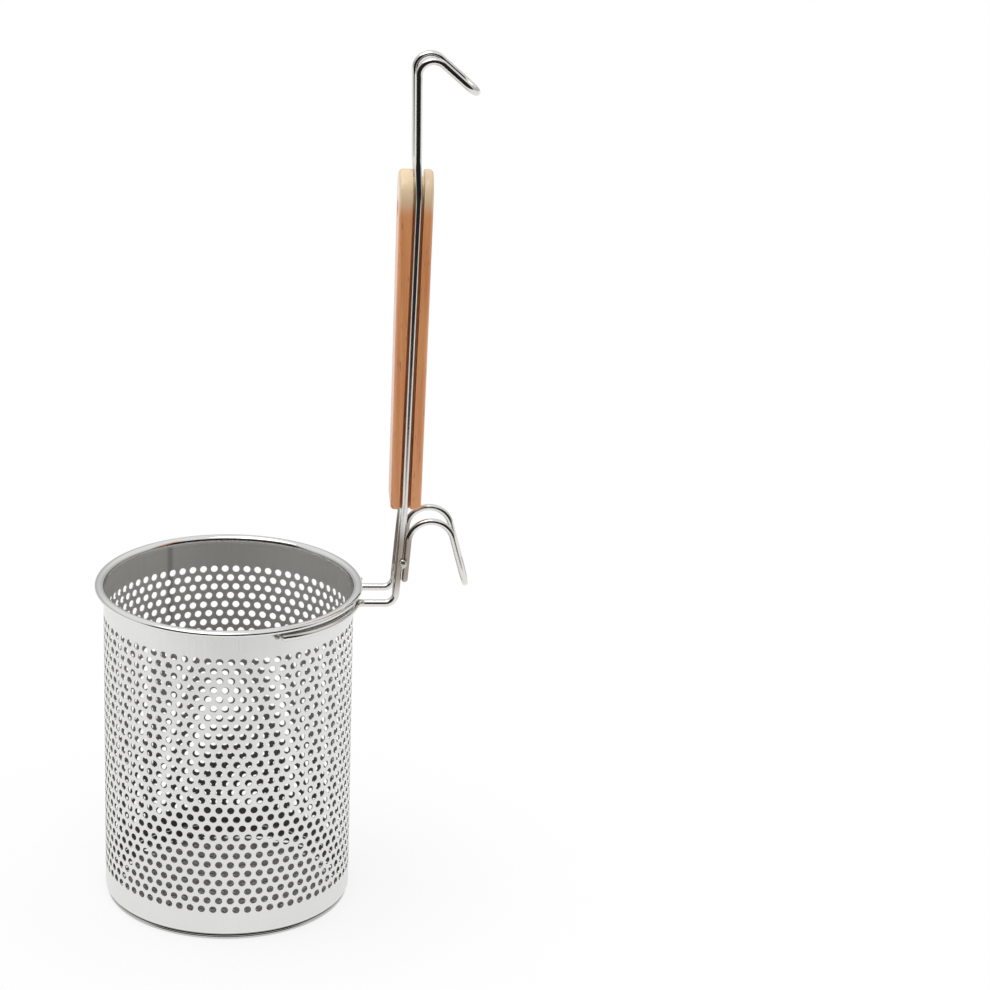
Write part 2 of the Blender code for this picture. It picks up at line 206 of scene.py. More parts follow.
def ring_triangles(outer, inner):
    """Triangles that fill the space between two loops of 2-D points round the same centre."""
    outer_angles = [math.atan2(y, x) % (2 * math.pi) for x, y in outer]
    inner_angles = [math.atan2(y, x) % (2 * math.pi) for x, y in inner]
    outer_order = sorted(range(len(outer)), key=lambda index: outer_angles[index])
    inner_order = sorted(range(len(inner)), key=lambda index: inner_angles[index])
    at_outer = 0
    at_inner = 0
    triangles = []
    while at_outer < len(outer) or at_inner < len(inner):
        here_outer = outer_order[at_outer % len(outer)]
        here_inner = inner_order[at_inner % len(inner)]
        next_outer = outer_order[(at_outer + 1) % len(outer)]
        next_inner = inner_order[(at_inner + 1) % len(inner)]
        outer_turn = outer_angles[next_outer] + 2 * math.pi * ((at_outer + 1) // len(outer))
        inner_turn = inner_angles[next_inner] + 2 * math.pi * ((at_inner + 1) // len(inner))
        outer_done = at_outer >= len(outer)
        inner_done = at_inner >= len(inner)
        if inner_done or (not outer_done and outer_turn <= inner_turn):
            triangles.append((("outer", here_outer), ("outer", next_outer), ("inner", here_inner)))
            at_outer += 1
        else:
            triangles.append((("outer", here_outer), ("inner", next_inner), ("inner", here_inner)))
            at_inner += 1
    return triangles


class SheetMesh:
    """Collects points, faces and the direction that each face corner is shaded in."""

    def __init__(self):
        self.points = []
        self.faces = []
        self.normals = []

    def point(self, place):
        self.points.append(place)
        return len(self.points) - 1

    def face(self, corners, normals):
        self.faces.append(corners)
        self.normals.extend(normals)

    def mesh(self, name):
        result = bpy.data.meshes.new(name)
        result.from_pydata(self.points, [], self.faces)
        result.shade_smooth()
        result.normals_split_custom_set(self.normals)
        return result


def round_place(radius, angle, height):
    """A point at a radius and angle from the basket's axis."""
    return (AXIS_X + radius * math.cos(angle), radius * math.sin(angle), height)


def turned_normal(slope, angle):
    """A section's normal, given by its slope, turned to an angle round the basket's axis."""
    across = math.cos(slope)
    return (across * math.cos(angle), across * math.sin(angle), math.sin(slope))


def rolled_angle(angle):
    """Where a hole ends up round the basket: the sheet was rolled a little unevenly."""
    uneven = TWICE_ROUND_SHIFT * math.sin(2 * angle)
    return angle + uneven + ONCE_ROUND_SHIFT[0] * math.cos(angle) + ONCE_ROUND_SHIFT[1] * math.sin(angle)


def row_height(row, angle):
    """Height of a row at an angle round the basket: the rows run a little askew."""
    sine = math.sin(angle)
    tilt = (ROW_TILT - ROW_TWIST * sine) * math.cos(angle)
    return TOP_ROW - ROW_LEAN * sine - tilt - row * (ROW_STEP - ROW_STEP_CHANGE * sine)


def wall_template():
    """One hole's cell, flat: its six border points, its hole and the triangles between them."""
    half_width = math.pi * BODY_RADIUS / HOLES_PER_ROW
    half_height = ROW_STEP / 2
    border = [
        (-half_width, -half_height),
        (0.0, -half_height),
        (half_width, -half_height),
        (half_width, half_height),
        (0.0, half_height),
        (-half_width, half_height),
    ]
    hole = arc((0.0, 0.0), HOLE_RADIUS, 0, 2 * math.pi * (1 - 1 / HOLE_SIDES), HOLE_SIDES - 1)
    return hole, ring_triangles(border, hole)


def wall_mesh():
    """The basket's whole sheet: 28 rows of holes, plain margins and the curled rim."""
    sheet = SheetMesh()
    hole, triangles = wall_template()
    spacing = 2 * math.pi / HOLES_PER_ROW
    radii = {"out": BODY_RADIUS, "in": BODY_RADIUS - SHEET}
    facing = {"out": 1, "in": -1}
    angles = [rolled_angle(HOLE_PHASE + index * spacing / 2) for index in range(LINE_POINTS)]
    lines = {"out": [], "in": []}
    for side, radius in radii.items():
        for row in range(HOLE_ROWS + 1):
            line = []
            for angle in angles:
                height = row_height(row - 0.5, angle)
                line.append(sheet.point(round_place(radius, angle, height)))
            lines[side].append(line)
    for row in range(HOLE_ROWS):
        for column in range(HOLES_PER_ROW):
            place = 2 * column + row % 2
            centre = rolled_angle(HOLE_PHASE + place * spacing / 2)
            height = row_height(row, centre)
            below = [(place - 1) % LINE_POINTS, place % LINE_POINTS, (place + 1) % LINE_POINTS]
            above = below[::-1]
            edge = [(row + 1, index) for index in below] + [(row, index) for index in above]
            rings = {}
            for side, radius in radii.items():
                rings[side] = [
                    sheet.point(round_place(radius, centre + x / BODY_RADIUS, height + y)) for x, y in hole
                ]
            for side in radii:
                turn = facing[side]
                for triangle in triangles:
                    corners = []
                    normals = []
                    for kind, index in triangle[::turn]:
                        if kind == "outer":
                            line, along = edge[index]
                            corners.append(lines[side][line][along])
                            angle = angles[along]
                        else:
                            corners.append(rings[side][index])
                            angle = centre + hole[index][0] / BODY_RADIUS
                        normals.append((turn * math.cos(angle), turn * math.sin(angle), 0.0))
                    sheet.face(corners, normals)
            tangent = (-math.sin(centre), math.cos(centre))
            for index in range(HOLE_SIDES):
                following = (index + 1) % HOLE_SIDES
                ends = []
                for at in (index, following):
                    inward_x = -hole[at][0] / HOLE_RADIUS
                    inward_y = -hole[at][1] / HOLE_RADIUS
                    ends.append((inward_x * tangent[0], inward_x * tangent[1], inward_y))
                corners = [
                    rings["out"][index],
                    rings["out"][following],
                    rings["in"][following],
                    rings["in"][index],
                ]
                sheet.face(corners, [ends[0], ends[1], ends[1], ends[0]])
    add_rings(sheet, upper_section(), lines["out"][0], lines["in"][0], angles, 1)
    add_rings(sheet, lower_section(), lines["out"][-1], lines["in"][-1], angles, -1)
    return sheet.mesh("strainer_wall")


def curl_point(angle, inset):
    """(radius, height, normal) on the rim's curl: round towards the basket, flatter outside."""
    half_width = BEAD_RADIUS - inset
    half_height = BEAD_RADIUS - inset
    middle = BEAD_HEIGHT
    if angle < math.pi / 2:
        half_height = BEAD_OUTER_HALF_HEIGHT - inset
        middle = BEAD_OUTER_HEIGHT
    across = math.cos(angle)
    upward = math.sin(angle)
    facing = math.atan2(upward / half_height, across / half_width)
    return (BEAD_CENTRE_RADIUS + half_width * across, middle + half_height * upward, facing)


def upper_section():
    """(radius, height, normal) from the outer face over the curl and down to the inner face."""
    section = []
    start = TOP_ROW + ROW_STEP / 2
    for share in (0.25, 0.5, 0.75, 0.97):
        section.append((BODY_RADIUS, start + (BEAD_HEIGHT - start) * share, 0.0))
    steps = 16
    for step in range(steps + 1):
        radius, height, facing = curl_point(math.pi + (CURL_END - math.pi) * step / steps, SHEET)
        section.append((radius, height, facing + math.pi))
    steps = 36
    for step in range(steps + 1):
        section.append(curl_point(CURL_END + (math.pi - CURL_END) * step / steps, 0.0))
    for share in (0.97, 0.75, 0.5, 0.25):
        section.append((BODY_RADIUS - SHEET, start + (BEAD_HEIGHT - start) * share, math.pi))
    return section


def lower_section():
    """(radius, height, normal) from the outer face round the lower edge to the inner face."""
    start = TOP_ROW + ROW_STEP / 2 - HOLE_ROWS * ROW_STEP
    edge = BODY_BOTTOM + LOWER_EDGE_ROUND
    section = [(BODY_RADIUS, start + (edge - start) * share, 0.0) for share in (0.3, 0.6, 0.9)]
    steps = 8
    for step in range(steps + 1):
        angle = -math.pi / 2 * step / steps
        radius = BODY_RADIUS - LOWER_EDGE_ROUND + LOWER_EDGE_ROUND * math.cos(angle)
        section.append((radius, edge + LOWER_EDGE_ROUND * math.sin(angle), angle))
    for share in (0.95, 0.6, 0.3):
        section.append((BODY_RADIUS - SHEET, start + (BODY_BOTTOM - start) * share, math.pi))
    return section


def join_rings(sheet, rings, angles, turn):
    """Faces between neighbouring rings, each (points, slope of its normal); turn flips them."""
    count = len(angles)
    for (here, here_normal), (there, there_normal) in zip(rings, rings[1:]):
        for index in range(count):
            following = (index + 1) % count
            corners = [(here, index, here_normal), (here, following, here_normal)]
            corners += [(there, following, there_normal), (there, index, there_normal)]
            normals = []
            for _, at, normal in corners[::turn]:
                normals.append(turned_normal(normal, angles[at]))
            sheet.face([ring[at] for ring, at, _ in corners[::turn]], normals)


def add_rings(sheet, section, first_line, last_line, angles, turn):
    """Joins the outer border line to the inner one through rings turned from a section."""
    rings = [(first_line, 0.0)]
    for radius, height, normal in section:
        rings.append(([sheet.point(round_place(radius, angle, height)) for angle in angles], normal))
    rings.append((last_line, math.pi))
    join_rings(sheet, rings, angles, turn)


def floor_holes():
    """Centres of the floor's holes, staggered as in the wall, with solid metal in the middle."""
    row_height = FLOOR_PITCH * math.sqrt(3) / 2
    reach = math.ceil(FLOOR_HOLES_WITHIN / row_height) + 1
    centres = []
    for row in range(-reach, reach + 1):
        for column in range(-reach - 1, reach + 2):
            x = (column + 0.5 + 0.5 * (row % 2)) * FLOOR_PITCH
            y = (row + 1 / 3) * row_height
            if math.hypot(x, y) < FLOOR_HOLES_WITHIN - HOLE_RADIUS:
                centres.append((x, y))
    return centres


def floor_mesh():
    """The perforated floor with its rounded shoulder, flange and turned-in foot."""
    flat_radius = PAN_RADIUS - PAN_CORNER
    rim_points = arc((0, 0), flat_radius, 0, 2 * math.pi * (1 - 1 / LINE_POINTS), LINE_POINTS - 1)
    points = [Vector(point) for point in rim_points]
    loops = [list(range(LINE_POINTS))]
    for x, y in floor_holes():
        first = len(points)
        ring = arc((x, y), HOLE_RADIUS, 0, 2 * math.pi * (1 - 1 / FLOOR_HOLE_SIDES), FLOOR_HOLE_SIDES - 1)
        points.extend(Vector(point) for point in ring)
        loops.append(list(range(first, first + FLOOR_HOLE_SIDES)))
    edges = [(loop[index], loop[(index + 1) % len(loop)]) for loop in loops for index in range(len(loop))]
    flat_points, _, flat_faces, point_origin, _, _ = delaunay_2d_cdt(points, edges, [], 1, 1e-7)
    new_index = {}
    for index, origins in enumerate(point_origin):
        for origin in origins:
            new_index[origin] = index
    inside_hole = [{new_index[index] for index in loop} for loop in loops[1:]]
    owner = {}
    for number, members in enumerate(inside_hole):
        for index in members:
            owner[index] = number
    sheet = SheetMesh()
    levels = {}
    for name, height in (("top", FLOOR_TOP), ("under", FLOOR_TOP - SHEET)):
        levels[name] = [sheet.point((AXIS_X + p.x, p.y, height)) for p in flat_points]
    for face in flat_faces:
        owners = {owner.get(index, -1 - index) for index in face}
        if len(owners) == 1:
            continue
        a, b, c = (flat_points[index] for index in face[:3])
        if (b - a).cross(c - a) < 0:
            face = face[::-1]
        sheet.face([levels["top"][index] for index in face], [(0, 0, 1)] * len(face))
        sheet.face([levels["under"][index] for index in face[::-1]], [(0, 0, -1)] * len(face))
    for loop in loops[1:]:
        centre = sum((points[index] for index in loop), Vector((0, 0))) / len(loop)
        for index, origin in enumerate(loop):
            following = loop[(index + 1) % len(loop)]
            ends = []
            for at in (origin, following):
                inward = (centre - points[at]).normalized()
                ends.append((inward.x, inward.y, 0.0))
            corners = [
                levels["top"][new_index[origin]],
                levels["top"][new_index[following]],
                levels["under"][new_index[following]],
                levels["under"][new_index[origin]],
            ]
            sheet.face(corners, [ends[0], ends[1], ends[1], ends[0]])
    rim_angles = [2 * math.pi * index / LINE_POINTS for index in range(LINE_POINTS)]
    top_line = [levels["top"][new_index[index]] for index in range(LINE_POINTS)]
    under_line = [levels["under"][new_index[index]] for index in range(LINE_POINTS)]
    add_pan_rings(sheet, top_line, under_line, rim_angles)
    return sheet.mesh("strainer_floor")


def add_pan_rings(sheet, top_line, under_line, angles):
    """Turns the pan's shoulder, groove, rounded foot and lip, from the top to the underside."""
    section = []
    shoulder = (PAN_RADIUS - PAN_CORNER, FLOOR_TOP - PAN_CORNER)
    foot = (PAN_RADIUS - FOOT_CORNER, FOOT_CORNER)
    for step in range(1, 7):
        angle = math.pi / 2 * (1 - step / 6)
        section.append((*on_circle(shoulder, PAN_CORNER, angle), angle))
    section.append((PAN_RADIUS - 0.0001, GROOVE_TOP + 0.0001, -math.pi / 4))
    section.append((GROOVE_RADIUS, GROOVE_TOP, 0.0))
    for step in range(11):
        angle = FOOT_ARC_START - FOOT_ARC_TURN * step / 10
        section.append((*on_circle(foot, FOOT_CORNER, angle), angle))
    lip_end = foot[0] - FOOT_LIP
    section.append((lip_end, 0.0, -math.pi / 2))
    section.append((lip_end, 0.0, math.pi))
    section.append((lip_end, SHEET, math.pi))
    section.append((lip_end, SHEET, math.pi / 2))
    for step in range(7):
        angle = -math.pi / 2 + FOOT_ARC_TURN * step / 6
        section.append((*on_circle(foot, FOOT_CORNER - SHEET, angle), angle + math.pi))
    section.append((GROOVE_RADIUS - SHEET, GROOVE_TOP, math.pi))
    for step in range(5):
        angle = math.pi / 2 * step / 4
        section.append((*on_circle(shoulder, PAN_CORNER - SHEET, angle), angle + math.pi))
    rings = [(top_line, math.pi / 2)]
    for radius, height, normal in section:
        rings.append(([sheet.point(round_place(radius, angle, height)) for angle in angles], normal))
    rings.pop()
    rings.append((under_line, -math.pi / 2))
    join_rings(sheet, rings, angles, -1)


def divided(points):
    """The same route with extra points, so that no step along it is long."""
    result = [points[0]]
    for before, after in zip(points, points[1:]):
        steps = max(1, math.ceil((after - before).length / LONGEST_STEP))
        for step in range(1, steps + 1):
            result.append(before.lerp(after, step / steps))
    return result


def tube_mesh(name, points, radius):
    """A round bar along the points, with softly rounded ends and a UV map along its length."""
    points = divided(points)
    first = (points[0] - points[1]).normalized()
    last = (points[-1] - points[-2]).normalized()
    start_rings = []
    end_rings = []
    steps = 7
    for step in range(steps):
        angle = math.pi / 2 * (1 - step / steps)
        inset = END_ROUND * math.sin(angle)
        size = radius - END_ROUND + END_ROUND * math.cos(angle)
        start_rings.append((points[0] + first * (inset - END_ROUND), size))
        end_rings.insert(0, (points[-1] + last * (inset - END_ROUND), size))
    body = [point for point in points[1:-1] if (point - points[0]).length > END_ROUND * 1.2]
    body = [point for point in body if (point - points[-1]).length > END_ROUND * 1.2]
    rings = start_rings + [(points[0] - first * END_ROUND, radius)]
    rings += [(point, radius) for point in body]
    rings += [(points[-1] - last * END_ROUND, radius)] + end_rings
    path = [place for place, _ in rings]
    directions = []
    for index in range(len(path)):
        before = path[max(index - 1, 0)]
        after = path[min(index + 1, len(path) - 1)]
        directions.append((after - before).normalized())
    across = directions[0].orthogonal().normalized()
    vertices = []
    lengths = [0.0]
    for index, (place, size) in enumerate(rings):
        if index:
            across = directions[index - 1].rotation_difference(directions[index]) @ across
            lengths.append(lengths[-1] + (place - path[index - 1]).length)
        upward = directions[index].cross(across)
        for side in range(TUBE_SIDES):
            angle = 2 * math.pi * side / TUBE_SIDES
            offset = (across * math.cos(angle) + upward * math.sin(angle)) * size
            vertices.append(place + offset + Vector((AXIS_X, 0, 0)))
    faces = []
    uvs = []
    for ring in range(len(rings) - 1):
        for side in range(TUBE_SIDES):
            following = (side + 1) % TUBE_SIDES
            here = ring * TUBE_SIDES
            there = here + TUBE_SIDES
            faces.append((here + side, here + following, there + following, there + side))
            for along, around in ((ring, side), (ring, side + 1), (ring + 1, side + 1), (ring + 1, side)):
                uvs.append((lengths[along], around / TUBE_SIDES))
    faces.append(tuple(range(TUBE_SIDES))[::-1])
    faces.append(tuple(range(len(vertices) - TUBE_SIDES, len(vertices))))
    uvs.extend([(0.0, 0.0)] * TUBE_SIDES)
    uvs.extend([(lengths[-1], 0.0)] * TUBE_SIDES)
    mesh = bpy.data.meshes.new(name)
    mesh.from_pydata(vertices, [], faces)
    layer = mesh.uv_layers.new(name="along_wire")
    layer.data.foreach_set("uv", [value for uv in uvs for value in uv])
    mesh.shade_smooth()
    mesh.set_sharp_from_angle(angle=math.radians(50))
    return mesh


def mirrored_loop(half, tip_radius, tip_direction):
    """Joins a half route to its mirror image in Y by a half-circle of the given radius."""
    end = half[-1]
    middle = Vector((end.x, 0.0, end.z))
    steps = 36
    turn = []
    for step in range(1, steps):
        angle = math.pi * step / steps
        turn.append(
            middle
            + Vector((0.0, -tip_radius * math.cos(angle), 0.0))
            + tip_direction * tip_radius * math.sin(angle)
        )
    other = [Vector((point.x, -point.y, point.z)) for point in reversed(half)]
    return half + turn + other


def eased(value, start, end):
    """0 before the start, 1 after the end, and a smooth rise between them."""
    share = min(max((value - start) / (end - start), 0.0), 1.0)
    return share * share * (3 - 2 * share)


def rear_shift(point):
    """How far the rear half of the handle wire stands from a true mirror image of the front."""
    on_rear = min(max(point.y / HOOK_HALF_SPREAD, 0.0), 1.0)
    rise = eased(point.z, 0.176, 0.188) * (1 - eased(point.z, 0.215, 0.235))
    hook = eased(point.z, 0.400, 0.425)
    return on_rear * (0.0007 * rise - 0.0008 * hook)


def handle_wire_route():
    """The whole handle wire: rim, arm, rise, grip, neck, hanging hook and back again."""
    last = math.asin((WIRE_HALF_SPREAD + ARM_BEND) / RIM_WIRE_RADIUS)
    rim = []
    for step in range(RIM_WIRE_STEPS + 1):
        share = step / RIM_WIRE_STEPS
        angle = RIM_WIRE_SWEEP + (last - RIM_WIRE_SWEEP) * share
        height = RIM_WIRE_HEIGHT + RIM_WIRE_LIFT * (1 - share) ** 3
        rim.append(Vector((RIM_WIRE_RADIUS * math.cos(angle), -RIM_WIRE_RADIUS * math.sin(angle), height)))
    near = -WIRE_HALF_SPREAD
    top = -HOOK_HALF_SPREAD
    corners = [
        (rim[-1], 0),
        ((ARM_CORNER_X, near, RIM_WIRE_HEIGHT), ARM_BEND),
        ((RISE_CORNER_X, near, RIM_WIRE_HEIGHT), RISE_BEND),
        ((GRIP_ENTRY[0], near, GRIP_ENTRY[1]), GENTLE_BEND),
        ((GRIP_EXIT[0], near, GRIP_EXIT[1]), GENTLE_BEND),
        ((NECK_TOP[0], top, NECK_TOP[1]), NECK_BEND),
        ((CREST_CORNER[0], top, CREST_CORNER[1]), CREST_BEND),
        ((TIP_START[0], top, TIP_START[1]), 0),
    ]
    slope = Vector((TIP_START[0] - CREST_CORNER[0], 0.0, TIP_START[1] - CREST_CORNER[1])).normalized()
    route = mirrored_loop(rim[:-1] + filleted(corners), HOOK_HALF_SPREAD, slope)
    return [point + Vector((rear_shift(point), 0.0, 0.0)) for point in route]


def rise_x(height):
    """Where the rising part of the handle wire is at a height below the grip."""
    share = (height - RIM_WIRE_HEIGHT) / (GRIP_ENTRY[1] - RIM_WIRE_HEIGHT)
    return RISE_CORNER_X + (GRIP_ENTRY[0] - RISE_CORNER_X) * share


def pot_hook_route():
    """The pot hook: leg, arch, sloping finger, half-circle and back again."""
    near = -POT_HALF_SPREAD
    corners = [
        ((rise_x(POT_LEG_FOOT) + POT_LEG_OFFSET, near, POT_LEG_FOOT), 0),
        ((POT_ARCH_CORNER[0], near, POT_ARCH_CORNER[1]), POT_ARCH_BEND),
        ((POT_TIP_START[0], near, POT_TIP_START[1]), 0),
    ]
    slope = Vector((POT_TIP_START[0] - POT_ARCH_CORNER[0], 0.0, POT_TIP_START[1] - POT_ARCH_CORNER[1]))
    return mirrored_loop(filleted(corners), POT_HALF_SPREAD, slope.normalized())


def prism_mesh(name, outline, x_range):
    """A bar with an outline in the YZ plane, between two faces whose X depends on height."""
    vertices = []
    for side in (0, 1):
        for y, z in outline:
            vertices.append((AXIS_X + x_range(side, z), y, z))
    count = len(outline)
    faces = [list(range(count)), list(range(count, 2 * count))]
    for index in range(count):
        following = (index + 1) % count
        faces.append((index, following, count + following, count + index))
    mesh = bpy.data.meshes.new(name)
    mesh.from_pydata(vertices, [], faces)
    shaped = bmesh.new()
    shaped.from_mesh(mesh)
    bmesh.ops.recalc_face_normals(shaped, faces=shaped.faces)
    shaped.to_mesh(mesh)
    shaped.free()
    return mesh


def grip_face_x(side, height):
    """X of the grip's basket side (0) or outer side (1) at a height."""
    share = (height - GRIP_LOW.z) / (GRIP_HIGH.z - GRIP_LOW.z)
    low, high = GRIP_FACES_AT_BOTTOM[side], GRIP_FACES_AT_TOP[side]
    return low + (high - low) * share


def groove_face_x(side, height):
    """X of one side of the groove at a height: it follows the wire."""
    share = (height - GRIP_ENTRY[1]) / (GRIP_EXIT[1] - GRIP_ENTRY[1])
    middle = GRIP_ENTRY[0] + (GRIP_EXIT[0] - GRIP_ENTRY[0]) * share
    return middle + (2 * side - 1) * GROOVE_HALF_WIDTH


def cutting_object(name, mesh):
    """An object that only cuts, and is removed once it has."""
    cutter = bpy.data.objects.new(name, mesh)
    bpy.context.scene.collection.objects.link(cutter)
    return cutter


def grip_mesh():
    """The grip with rounded edges, its groove and its cross hole, all edges slightly eased."""
    crown = GRIP_HIGH.z - GRIP_HALF_WIDTH
    foot_y = GRIP_HALF_WIDTH - GRIP_FOOT_CORNER
    foot_z = GRIP_LOW.z + GRIP_FOOT_CORNER
    outline = arc((0.0, crown), GRIP_HALF_WIDTH, 0, math.pi, 48)
    outline += arc((-foot_y, foot_z), GRIP_FOOT_CORNER, math.pi, math.pi * 1.5, 10)
    outline += arc((foot_y, foot_z), GRIP_FOOT_CORNER, math.pi * 1.5, math.pi * 2, 10)
    body = bpy.data.objects.new("grip_body", prism_mesh("grip_body", outline, grip_face_x))
    bpy.context.scene.collection.objects.link(body)
    rounding = body.modifiers.new("round", "BEVEL")
    rounding.width = GRIP_EDGE_ROUND
    rounding.segments = 8
    rounding.limit_method = "ANGLE"
    rounding.angle_limit = math.radians(50)
    beyond = 0.004
    inner = GRIP_HALF_WIDTH - GROOVE_DEPTH
    outer = GRIP_HALF_WIDTH + beyond
    low = GRIP_LOW.z - beyond
    groove_outline = [(outer, low)] + arc((0.0, crown), outer, 0, math.pi, 48) + [(-outer, low)]
    groove_outline += [(-inner, low)] + arc((0.0, crown), inner, math.pi, 0, 48) + [(inner, low)]
    groove = cutting_object("groove", prism_mesh("groove", groove_outline, groove_face_x))
    hole_outline = arc((0.0, GRIP_HOLE_HEIGHT), GRIP_HOLE_RADIUS, 0, 2 * math.pi * 63 / 64, 63)
    hole = cutting_object("hole", prism_mesh("hole", hole_outline, lambda side, _: 0.07 + 0.05 * side))
    for cutter in (groove, hole):
        cut = body.modifiers.new(cutter.name, "BOOLEAN")
        cut.operation = "DIFFERENCE"
        cut.solver = "EXACT"
        cut.object = cutter
    easing = body.modifiers.new("ease", "BEVEL")
    easing.width = 0.0005
    easing.segments = 3
    easing.limit_method = "ANGLE"
    easing.angle_limit = math.radians(50)
    bpy.context.view_layer.update()
    evaluated = body.evaluated_get(bpy.context.evaluated_depsgraph_get())
    mesh = bpy.data.meshes.new_from_object(evaluated)
    mesh.name = "wooden_grip"
    for helper in (body, groove, hole):
        bpy.data.objects.remove(helper, do_unlink=True)
    mesh.shade_smooth()
    mesh.set_sharp_from_angle(angle=math.radians(40))
    return mesh


def core_mesh():
    """The ring of wire that the rim is curled round."""
    sheet = SheetMesh()
    section = []
    for step in range(CORE_SIDES):
        angle = 2 * math.pi * step / CORE_SIDES
        place = on_circle((BEAD_CENTRE_RADIUS, BEAD_OUTER_HEIGHT), CORE_RADIUS, angle)
        section.append((*place, angle))
    angles = [2 * math.pi * step / LINE_POINTS for step in range(LINE_POINTS)]
    rings = []
    for radius, height, normal in section:
        ring = [sheet.point(round_place(radius, angle, height)) for angle in angles]
        rings.append((ring, normal))
    rings.append(rings[0])
    join_rings(sheet, rings, angles, 1)
    return sheet.mesh("wire_in_rim")


def weld_mesh(name, node, swell, lift):
    """A bead of weld metal in its CAD solid's box, sized and lifted to suit, with ripples."""
    low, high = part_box(node)
    centre = (low + high) / 2 + Vector((0.0, 0.0, lift))
    half = (high - low) / 2 * swell
    shaped = bmesh.new()
    bmesh.ops.create_icosphere(shaped, subdivisions=4, radius=1.0)
    for vertex in shaped.verts:
        unit = vertex.co.copy()
        ripple = 1 + 0.035 * math.sin(11 * unit.z + 3 * unit.x) + 0.02 * math.sin(17 * unit.x + 9 * unit.y)
        vertex.co = [place + size * part * ripple for place, size, part in zip(centre, half, unit)]
    mesh = bpy.data.meshes.new(name)
    shaped.to_mesh(mesh)
    shaped.free()
    mesh.shade_smooth()
    return mesh


# ---------------------------------------------------------------- materials


RANGE_SOCKETS = ("From Min", "From Max", "To Min", "To Max")


class Nodes:
    """Short calls for building a material's node tree."""

    def __init__(self, name):
        self.material = bpy.data.materials.new(name)
        self.material.use_nodes = True
        self.tree = self.material.node_tree
        self.shader = self.tree.nodes["Principled BSDF"]

    def add(self, kind, **settings):
        node = self.tree.nodes.new(kind)
        for key, value in settings.items():
            setattr(node, key, value)
        return node

    def link(self, output, target):
        self.tree.links.new(output, target)

    def put(self, target, value):
        """Connects an output to a socket, or sets the socket's own value."""
        if isinstance(value, bpy.types.NodeSocket):
            self.link(value, target)
        else:
            target.default_value = value

    def math(self, operation, first, second=0.0, clamp=False):
        node = self.add("ShaderNodeMath", operation=operation, use_clamp=clamp)
        self.put(node.inputs[0], first)
        self.put(node.inputs[1], second)
        return node.outputs[0]

    def remap(self, value, from_low, from_high, to_low, to_high, smooth=False):
        node = self.add("ShaderNodeMapRange", clamp=True)
        if smooth:
            node.interpolation_type = "SMOOTHSTEP"
        self.put(node.inputs["Value"], value)
        for key, number in zip(RANGE_SOCKETS, (from_low, from_high, to_low, to_high)):
            node.inputs[key].default_value = number
        return node.outputs["Result"]

    def scaled(self, vector, scale):
        node = self.add("ShaderNodeMapping")
        self.link(vector, node.inputs["Vector"])
        node.inputs["Scale"].default_value = scale
        return node.outputs["Vector"]

    def noise(self, vector, scale, detail=3.0, roughness=0.55, distortion=0.0):
        node = self.add("ShaderNodeTexNoise")
        self.link(vector, node.inputs["Vector"])
        node.inputs["Scale"].default_value = scale
        node.inputs["Detail"].default_value = detail
        node.inputs["Roughness"].default_value = roughness
        node.inputs["Distortion"].default_value = distortion
        return node.outputs["Fac"]

    def mix(self, share, first, second, blend="MIX"):
        node = self.add("ShaderNodeMix", data_type="RGBA", blend_type=blend)
        self.put(node.inputs["Factor"], share)
        self.put(node.inputs["A"], first)
        self.put(node.inputs["B"], second)
        return node.outputs["Result"]

    def dot(self, vector, direction):
        node = self.add("ShaderNodeVectorMath", operation="DOT_PRODUCT")
        self.link(vector, node.inputs[0])
        node.inputs[1].default_value = direction
        return node.outputs["Value"]

    def bump(self, height, distance, strength=1.0):
        node = self.add("ShaderNodeBump")
        self.link(height, node.inputs["Height"])
        node.inputs["Distance"].default_value = distance
        node.inputs["Strength"].default_value = strength
        self.link(node.outputs["Normal"], self.shader.inputs["Normal"])


